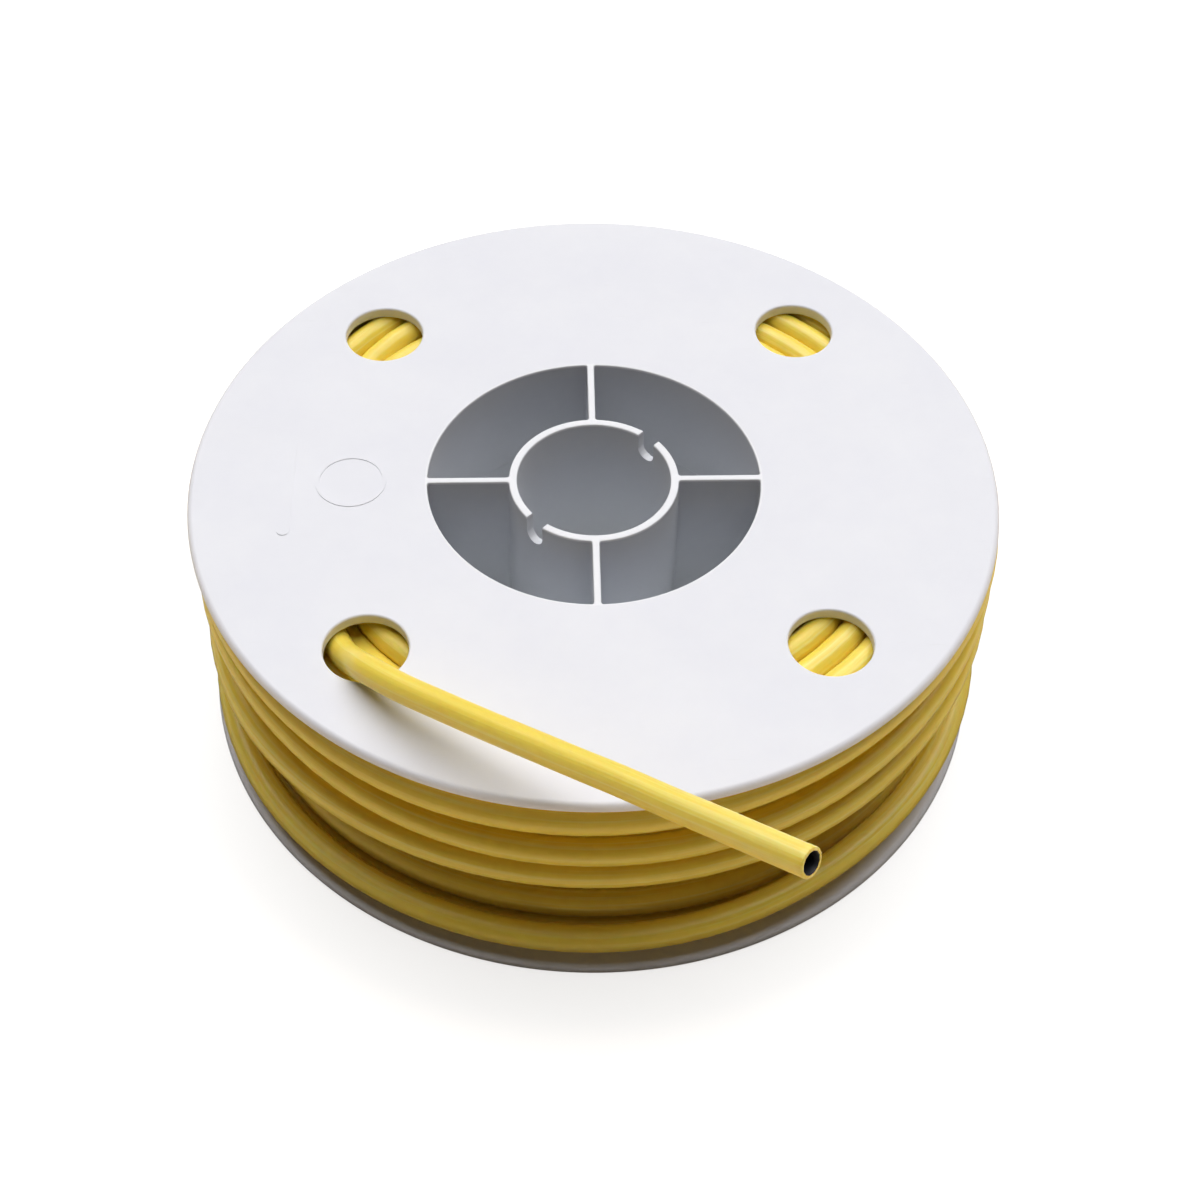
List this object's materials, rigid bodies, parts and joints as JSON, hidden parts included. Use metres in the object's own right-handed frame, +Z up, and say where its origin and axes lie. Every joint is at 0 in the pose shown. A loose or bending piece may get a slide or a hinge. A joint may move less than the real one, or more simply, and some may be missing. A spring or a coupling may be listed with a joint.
{
  "type": "reel of flexible sleeving",
  "caption": "Flat two-flange plastic spool wound with flexible hollow tube, its free end led up through a flange hole and out over the rim.",
  "frame": {"origin": "centre of the lower flange's outer face, on the spindle axis, where the spool rests", "axes": "+Z up along the spindle bore towards the upper flange; the four flange holes lie at 45 degrees to X and Y, and the tube's free end leaves through the hole in the -X -Y quarter and points towards +X -Y"},
  "size_m": [0.16, 0.1951, 0.0874],
  "materials": {
    "spool_plastic": "satin moulded white polystyrene",
    "tube": "soft satin extruded yellow tube"
  },
  "bodies": {
    "root": {"upper_spool_half": "spool_plastic", "lower_spool_half": "spool_plastic", "tube_tail": "tube", "tube_layer_1": "tube", "tube_layer_2": "tube", "tube_layer_3": "tube", "tube_layer_4": "tube", "tube_layer_5": "tube", "tube_layer_6": "tube", "tube_layer_7": "tube", "tube_layer_8": "tube"}
  },
  "joints": []
}
